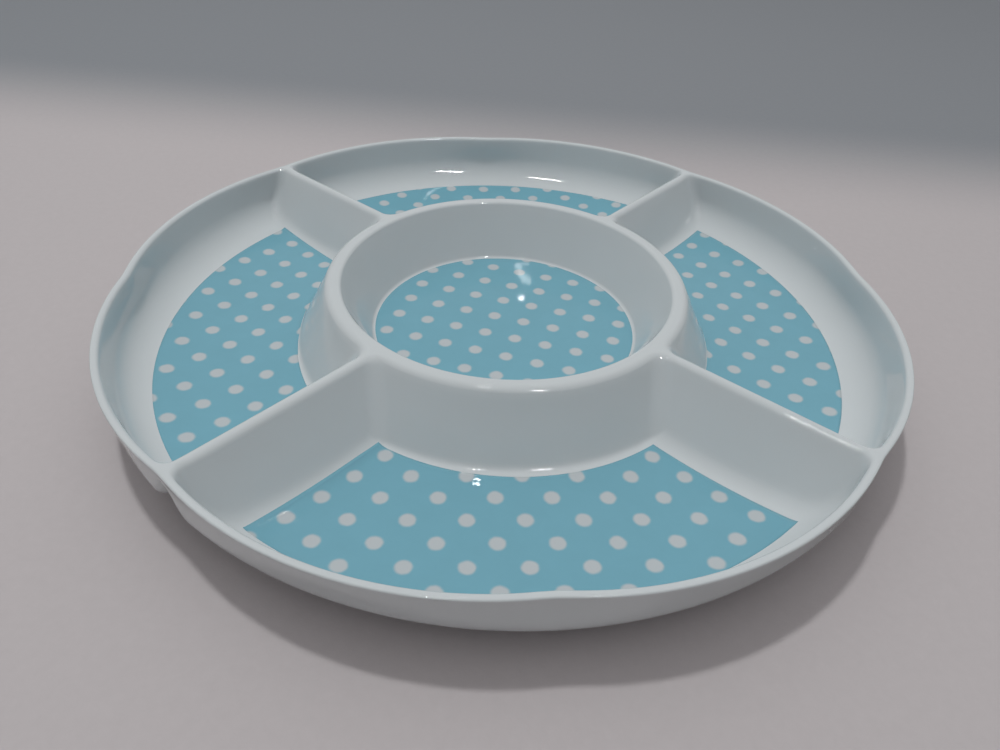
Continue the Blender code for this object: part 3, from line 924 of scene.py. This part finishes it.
class TRAY_OT_add_fan_films(bpy.types.Operator):
    """Add the four printed films of the fan compartments"""

    bl_idname = "tray.add_fan_films"
    bl_label = "Add Fan Films"

    def execute(self, context):
        scene = context.scene
        section = TraySection(scene.tray_moulding)
        for side in SIDES:
            film = build_fan_film(section, scene.tray_prints, side)
            turn = radians(DOT_TURNS[side])
            give_material(film, make_print(
                scene.tray_finish, scene.tray_prints, side, DOT_ORIGINS[side], turn))
            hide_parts(f"{side}_decal")
            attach(film, "root")
        return {"FINISHED"}


class TRAY_OT_add_centre_film(bpy.types.Operator):
    """Add the round printed film of the centre bowl"""

    bl_idname = "tray.add_centre_film"
    bl_label = "Add Centre Film"

    def execute(self, context):
        scene = context.scene
        film = build_centre_film(TraySection(scene.tray_moulding), scene.tray_prints)
        turn = radians(DOT_TURNS["centre"])
        give_material(film, make_print(
            scene.tray_finish, scene.tray_prints, "centre", DOT_ORIGINS["centre"], turn))
        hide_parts("centre_decal")
        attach(film, "root")
        return {"FINISHED"}


# The stage

CAMERA_PLACE = (-0.029342, -0.265318, 0.192462)
CAMERA_RIGHT = (0.99645537, -0.07156282, 0.04422056)
CAMERA_UP = (0.01086605, 0.63075425, 0.77590657)
CAMERA_FORWARD = (0.08341836, 0.77267577, -0.62929606)
CAMERA_LENS = 25.30
SENSOR_WIDTH = 36.0
CAMERA_NEAR = 0.01

FLOOR_WIDTH = 8.0
FLOOR_EDGE = 0.05
# Painted shade on the paper: the turn of the line it darkens along, and the distances behind the
# tray where it starts and where it is full
PAINTED_SHADE_TURN = radians(-11.3)
PAINTED_SHADE_FADE = (0.172, 0.35)

# The wide lamp, for the shadow: name, place, width, share of a full light level, colour
WIDE_LAMP = ("ceiling_light", (-0.249, 0.183, 1.662), 0.11, 0.30, (0.97, 1.0, 1.0))
# Each tube: name, place, length, width, turn of its length round Z, brightness against white paper
TUBES = (
    ("ceiling_tube_over", (-0.21, -0.16, 2.0), 0.24, 0.03, radians(-42), 190),
    ("ceiling_tube_front", (0.50, -1.01, 2.0), 0.42, 0.07, radians(-42), 130),
    ("ceiling_tube_middle", (0.065, 1.346, 2.0), 0.05, 0.03, radians(90), 34),
    ("ceiling_tube_back", (0.43, 3.10, 2.0), 0.026, 0.026, 0, 30),
)
# Soft light: where it comes from, its level and its colour
SKY = (
    ((0, 0, 1), 0.66, (1.0, 1.0, 1.0)),
    ((0, -1, 0.8), 0.11, (0.93, 1.0, 1.06)),
    ((1, 0, 0.4), 0.06, (0.98, 1.0, 1.02)),
    ((0, 1, 0.4), 0.36, (0.96, 1.0, 1.02)),
    ((-1, 0, 0.4), 0.10, (1.0, 1.0, 1.0)),
)
SKY_POWER = 2


class TRAY_OT_set_stage(bpy.types.Operator):
    """Set the pale floor, the lamps and the camera"""

    bl_idname = "tray.set_stage"
    bl_label = "Set Stage"

    def execute(self, context):
        add_floor(context.scene.tray_finish)
        add_lamps()
        add_sky(context.scene.tray_finish)
        add_camera()
        return {"FINISHED"}


def add_floor(finish):
    """A wide sheet of paper, with a border inside its edge."""
    select_none()
    bpy.ops.mesh.primitive_plane_add(size=FLOOR_WIDTH)
    sheet = bpy.context.object
    sheet.name = sheet.data.name = "paper_floor"
    bpy.ops.object.mode_set(mode="EDIT")
    bpy.ops.mesh.select_all(action="SELECT")
    bpy.ops.mesh.inset(thickness=FLOOR_EDGE, depth=0)
    bpy.ops.mesh.select_all(action="INVERT")
    bpy.ops.object.mode_set(mode="OBJECT")
    give_material(sheet, make_paper(finish))


def make_paper(finish):
    """Matt paper, pale round the tray, and darker behind it with painted shade."""
    material, nodes, coordinates, shader = new_material("plain paper")
    # Painted shade: the paper fades to its darker colour behind the tray
    turned = add_mapping(nodes, coordinates, Rotation=(0, 0, PAINTED_SHADE_TURN))
    apart = add_node(nodes, "ShaderNodeSeparateXYZ", turned)
    far = add_range(nodes, apart.outputs["Y"], PAINTED_SHADE_FADE, (0, 1), "SMOOTHSTEP")
    tint = add_mix(nodes, far, (*finish.paper, 1), (*finish.paper_painted_shade, 1))
    fibre = add_noise(nodes, coordinates, FIBRE)
    fleck = add_range(nodes, fibre, (0, 1), (1 - FLECK_SHARE, 1 + FLECK_SHARE))
    set_inputs(shader, Normal=add_bump(nodes, fibre, FIBRE_BUMP), Roughness=PAPER_ROUGHNESS, **{
        "Base Color": add_vector_math(nodes, "SCALE", tint, Scale=fleck),
        "Specular IOR Level": PAPER_SHINE,
    })
    return material


def add_lamp(name, position, shape):
    select_none()
    bpy.ops.object.light_add(type="AREA", location=position)
    lamp = bpy.context.object
    lamp.name = lamp.data.name = name
    lamp.data.shape = shape
    return lamp


def add_lamps():
    """One wide lamp for the shadow, and the thin ceiling tubes that glint in the gloss."""
    name, position, width, level, tint = WIDE_LAMP
    wide = add_lamp(name, position, "DISK")
    wide.rotation_euler = (-wide.location).to_track_quat("-Z", "Y").to_euler()
    wide.data.size = width
    wide.data.energy = level * (pi * wide.location.length) ** 2
    wide.data.color = tint
    wide.visible_glossy = False
    for name, position, run, width, turn, brightness in TUBES:
        tube = add_lamp(name, position, "RECTANGLE")
        tube.rotation_euler.z = turn
        tube.data.size, tube.data.size_y = run, width
        tube.data.energy = brightness * pi * run * width
        tube.visible_diffuse = False


def add_sky(finish):
    """Soft light from each side of the room. The camera and the gloss see a plain pale tone."""
    world = bpy.context.scene.world or bpy.data.worlds.new("studio")
    bpy.context.scene.world = world
    world.use_nodes = True
    nodes = world.node_tree.nodes
    looking = nodes.new("ShaderNodeTexCoord").outputs["Generated"]
    total = (0, 0, 0)
    for direction, level, tint in SKY:
        towards = add_vector_math(
            nodes, "DOT_PRODUCT", looking, Vector(direction).normalized(), output="Value")
        lobe = add_math(nodes, "POWER", add_math(nodes, "MAXIMUM", towards, 0), SKY_POWER)
        glow = add_vector_math(nodes, "SCALE", [level * part for part in tint], Scale=lobe)
        total = add_vector_math(nodes, "ADD", total, glow)
    sky = set_inputs(nodes["Background"], Color=total)
    seen = add_node(nodes, "ShaderNodeBackground", Color=(*finish.horizon, 1))
    path = nodes.new("ShaderNodeLightPath")
    straight = path.outputs["Is Camera Ray"]
    for kind in ("Is Glossy Ray", "Is Transmission Ray"):
        straight = add_math(nodes, "MAXIMUM", straight, path.outputs[kind])
    choose = add_node(nodes, "ShaderNodeMixShader",
                      straight, sky.outputs["Background"], seen.outputs["Background"])
    set_inputs(nodes["World Output"], Surface=choose.outputs["Shader"])


def add_camera():
    select_none()
    bpy.ops.object.camera_add()
    camera = bpy.context.object
    camera.name = camera.data.name = "photograph_view"
    right, up, back = Vector(CAMERA_RIGHT), Vector(CAMERA_UP), -Vector(CAMERA_FORWARD)
    turn = Matrix((right, up, back)).transposed().to_4x4()
    camera.matrix_world = Matrix.Translation(CAMERA_PLACE) @ turn
    camera.data.sensor_fit = "HORIZONTAL"
    camera.data.sensor_width = SENSOR_WIDTH
    camera.data.lens = CAMERA_LENS
    camera.data.clip_start = CAMERA_NEAR
    bpy.context.scene.camera = camera
    bpy.context.scene.view_settings.view_transform = "Standard"


class TRAY_PT_panel(bpy.types.Panel):
    """Lists what builds the tray"""

    bl_label = "Divided Tray"
    bl_idname = "TRAY_PT_panel"
    bl_space_type = "VIEW_3D"
    bl_region_type = "UI"
    bl_category = "Tray"

    def draw(self, context):
        for operator in OPERATORS:
            self.layout.operator(operator.bl_idname)
        for scene_name in GROUPS:
            group = getattr(context.scene, scene_name)
            column = self.layout.column(align=True)
            for name in group.__annotations__:
                column.prop(group, name)


OPERATORS = (TRAY_OT_add_body, TRAY_OT_add_fan_films, TRAY_OT_add_centre_film, TRAY_OT_set_stage)
GROUPS = {"tray_moulding": TrayMoulding, "tray_prints": FilmPrint, "tray_finish": TrayFinish}


def register():
    for name, group in GROUPS.items():
        bpy.utils.register_class(group)
        setattr(bpy.types.Scene, name, bpy.props.PointerProperty(type=group))
    for item in (*OPERATORS, TRAY_PT_panel):
        bpy.utils.register_class(item)


def unregister():
    for item in (TRAY_PT_panel, *reversed(OPERATORS)):
        bpy.utils.unregister_class(item)
    for name, group in reversed(GROUPS.items()):
        delattr(bpy.types.Scene, name)
        bpy.utils.unregister_class(group)


def main():
    register()
    bpy.ops.tray.add_body()
    bpy.ops.tray.add_fan_films()
    bpy.ops.tray.add_centre_film()
    bpy.ops.tray.set_stage()


if __name__ == "__main__":
    main()
